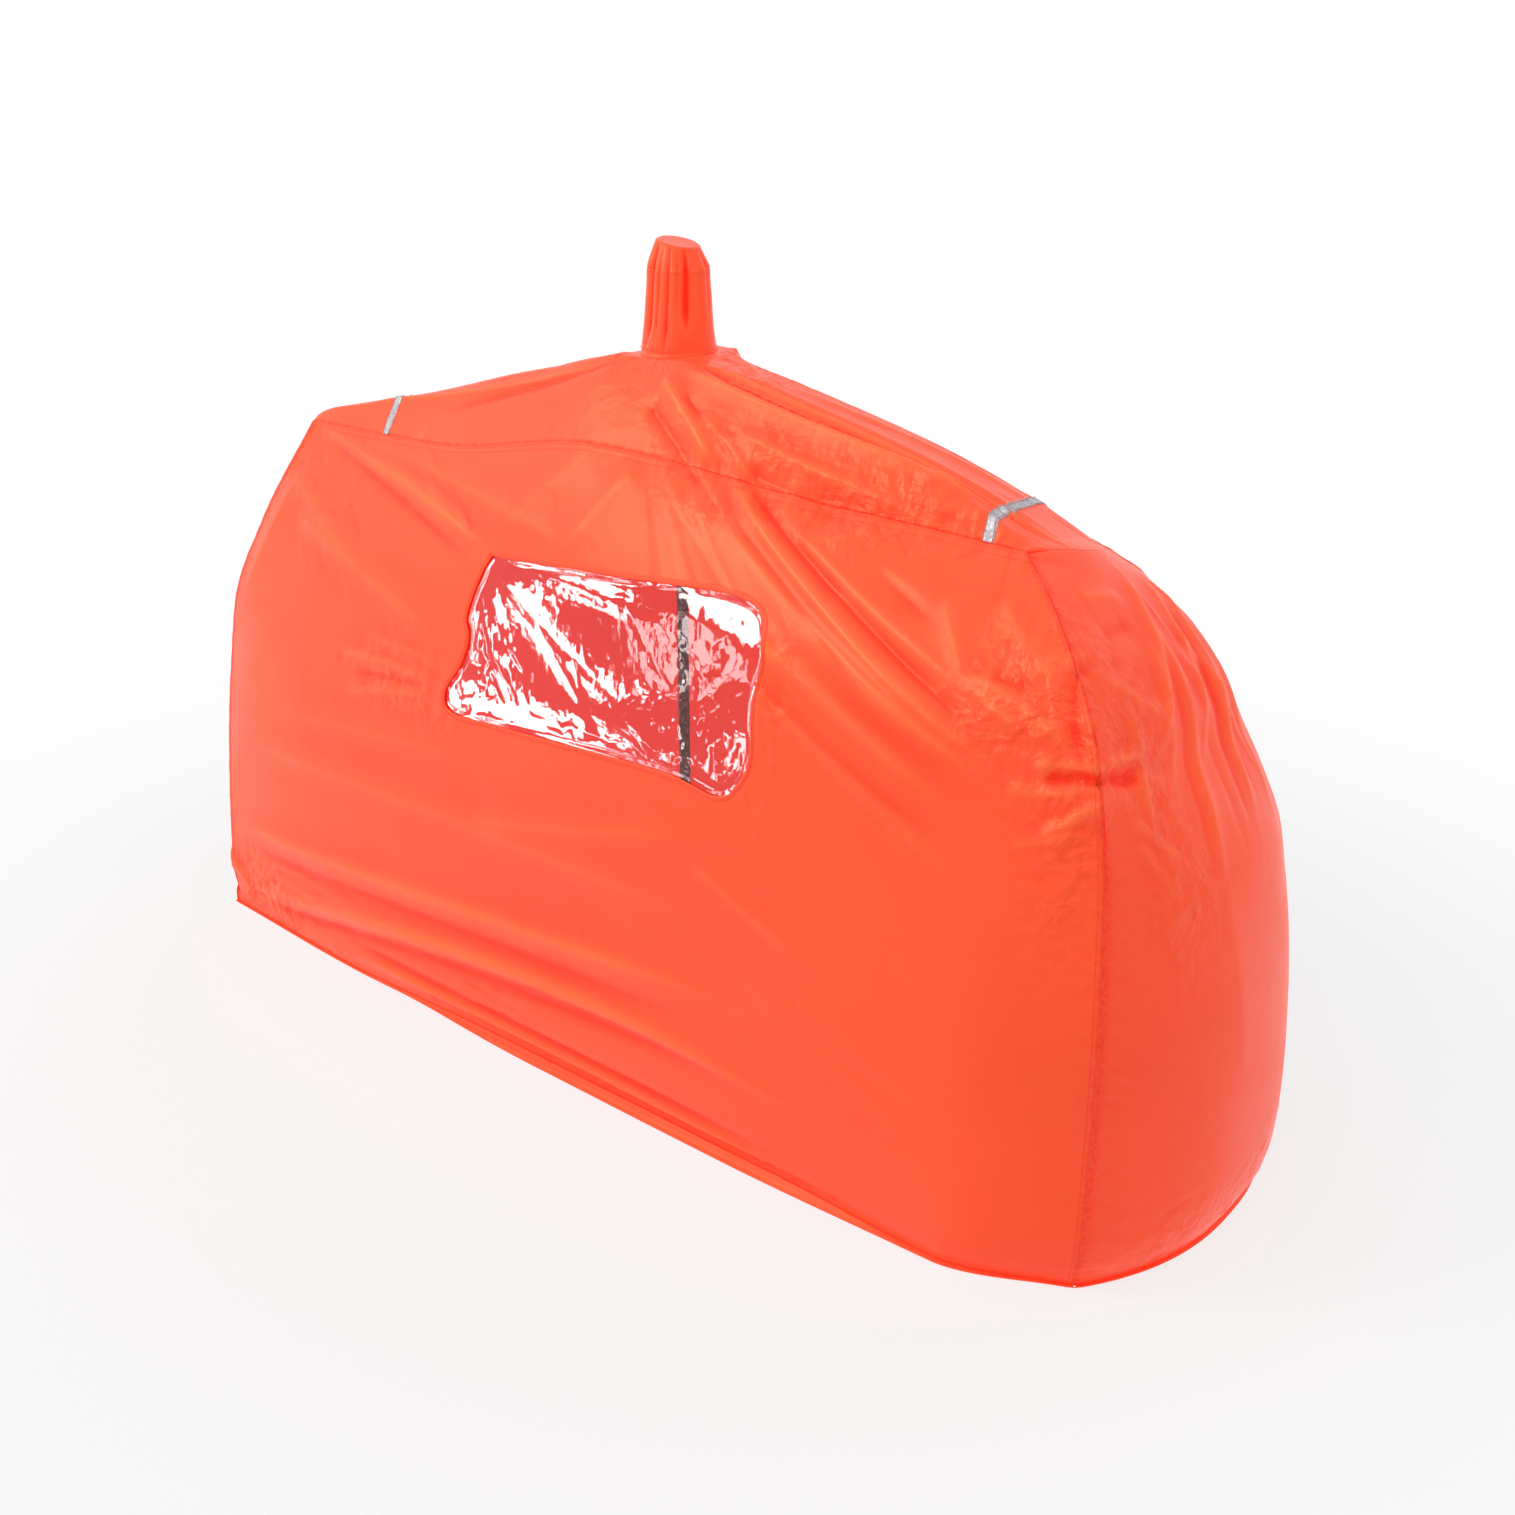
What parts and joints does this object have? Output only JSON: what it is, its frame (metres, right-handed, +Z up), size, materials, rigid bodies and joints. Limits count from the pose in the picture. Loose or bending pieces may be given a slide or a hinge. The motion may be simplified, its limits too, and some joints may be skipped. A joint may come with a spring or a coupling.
{
  "type": "group shelter",
  "caption": "Orange coated-cloth group shelter held up by a telescopic walking pole in its roof chimney, with a clear window in one long wall and reflective tapes on the roof.",
  "frame": {"origin": "centre of the ground footprint, on the ground", "axes": "+X along the long walls, to the right when facing the window wall; +Y from the window wall to the rear wall; +Z up along the walking pole"},
  "size_m": [1.5172, 0.529, 0.9624],
  "materials": {
    "coated_cloth": "semi-gloss coated, thin",
    "seat_cloth": "coated, tougher weave",
    "clear_film": "clear and creased",
    "binding": "bound and stitched",
    "reflective_tape": "silver with fine beads",
    "grip_foam": "matt foam",
    "clamp_plastic": "fine texture",
    "lever_plastic": "satin",
    "shaft_alloy": "anodised",
    "steel": "bright",
    "tip_alloy": "ground",
    "black_nylon": "moulded"
  },
  "bodies": {
    "shelter": {"front_wall": "coated_cloth", "rear_wall": "coated_cloth", "left_end_wall": "coated_cloth", "right_end_wall": "coated_cloth", "roof_panel": "coated_cloth", "chimney_tube": "coated_cloth", "chimney_cap": "coated_cloth", "pole_patch": "coated_cloth", "front_hem": "coated_cloth", "rear_hem": "coated_cloth", "left_end_hem": "coated_cloth", "right_end_hem": "coated_cloth", "window_pane": "clear_film", "window_binding": "binding", "left_reflective_tape": "reflective_tape", "right_reflective_tape": "reflective_tape", "pole_grip": "grip_foam", "grip_head": "clamp_plastic", "upper_shaft": "shaft_alloy", "upper_clamp_collar": "clamp_plastic", "upper_clamp_screw": "steel", "upper_lever_pin": "steel"},
    "pole_middle_section": {"middle_shaft": "shaft_alloy", "middle_end_plug": "black_nylon", "lower_clamp_collar": "clamp_plastic", "lower_clamp_screw": "steel", "lower_lever_pin": "steel"},
    "pole_lower_section": {"lower_shaft": "shaft_alloy", "lower_end_plug": "black_nylon", "tip_holder": "black_nylon", "carbide_tip": "tip_alloy", "pole_basket": "black_nylon"},
    "upper_lever": {"upper_clamp_lever": "lever_plastic"},
    "lower_lever": {"lower_clamp_lever": "lever_plastic"},
    "left_seat_flap": {"left_seat": "seat_cloth"},
    "right_seat_flap": {"right_seat": "seat_cloth"}
  },
  "joints": [
    {"name": "middle_slide", "type": "slide", "parent": "shelter", "child": "pole_middle_section", "axis": [0, 0, 1], "range_m": [0, 0.24]},
    {"name": "lower_slide", "type": "slide", "parent": "pole_middle_section", "child": "pole_lower_section", "axis": [0, 0, 1], "range_m": [0, 0.13]},
    {"name": "upper_lever_hinge", "type": "hinge", "parent": "shelter", "child": "upper_lever", "pos_m": [-0.03165, 0.03183, 0.592], "axis": [0, 0, -1], "range_deg": [0, 110]},
    {"name": "lower_lever_hinge", "type": "hinge", "parent": "pole_middle_section", "child": "lower_lever", "pos_m": [-0.03165, 0.03083, 0.236], "axis": [0, 0, -1], "range_deg": [0, 110]},
    {"name": "left_seat_fold", "type": "hinge", "parent": "shelter", "child": "left_seat_flap", "pos_m": [-0.71735, 0, 0.0015], "axis": [0, -1, 0], "range_deg": [0, 80]},
    {"name": "right_seat_fold", "type": "hinge", "parent": "shelter", "child": "right_seat_flap", "pos_m": [0.70702, 0, 0.0015], "axis": [0, 1, 0], "range_deg": [0, 80]}
  ]
}
